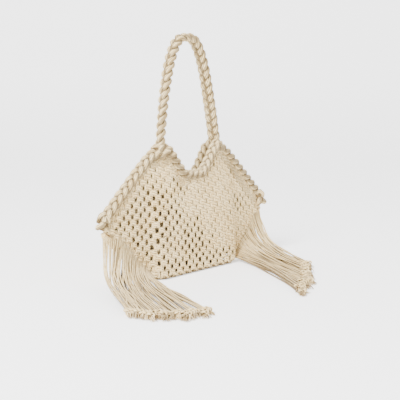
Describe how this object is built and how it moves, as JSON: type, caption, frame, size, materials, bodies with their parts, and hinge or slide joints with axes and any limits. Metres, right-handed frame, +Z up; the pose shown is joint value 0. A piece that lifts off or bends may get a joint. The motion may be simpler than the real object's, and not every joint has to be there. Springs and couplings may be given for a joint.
{
  "type": "macrame bag",
  "caption": "Shoulder bag knotted from cotton cord, with an M-shaped rope rim, a plaited handle and long knotted fringes on both lower sides.",
  "frame": {"origin": "middle of the base, on the surface that the bag stands on", "axes": "+X along the bag's width, +Y to the back, +Z up"},
  "size_m": [0.5142, 0.276, 0.384],
  "materials": {
    "knotted_cotton": "matt natural cotton cord",
    "cotton_rope": "matt natural cotton rope"
  },
  "bodies": {
    "root": {"front_panel": "knotted_cotton", "back_panel": "knotted_cotton", "left_rim_rope": "cotton_rope", "right_rim_rope": "cotton_rope", "front_mouth_rope": "cotton_rope", "back_mouth_rope": "cotton_rope", "handle": "cotton_rope", "left_fringe": "knotted_cotton", "right_fringe": "knotted_cotton"}
  },
  "joints": []
}
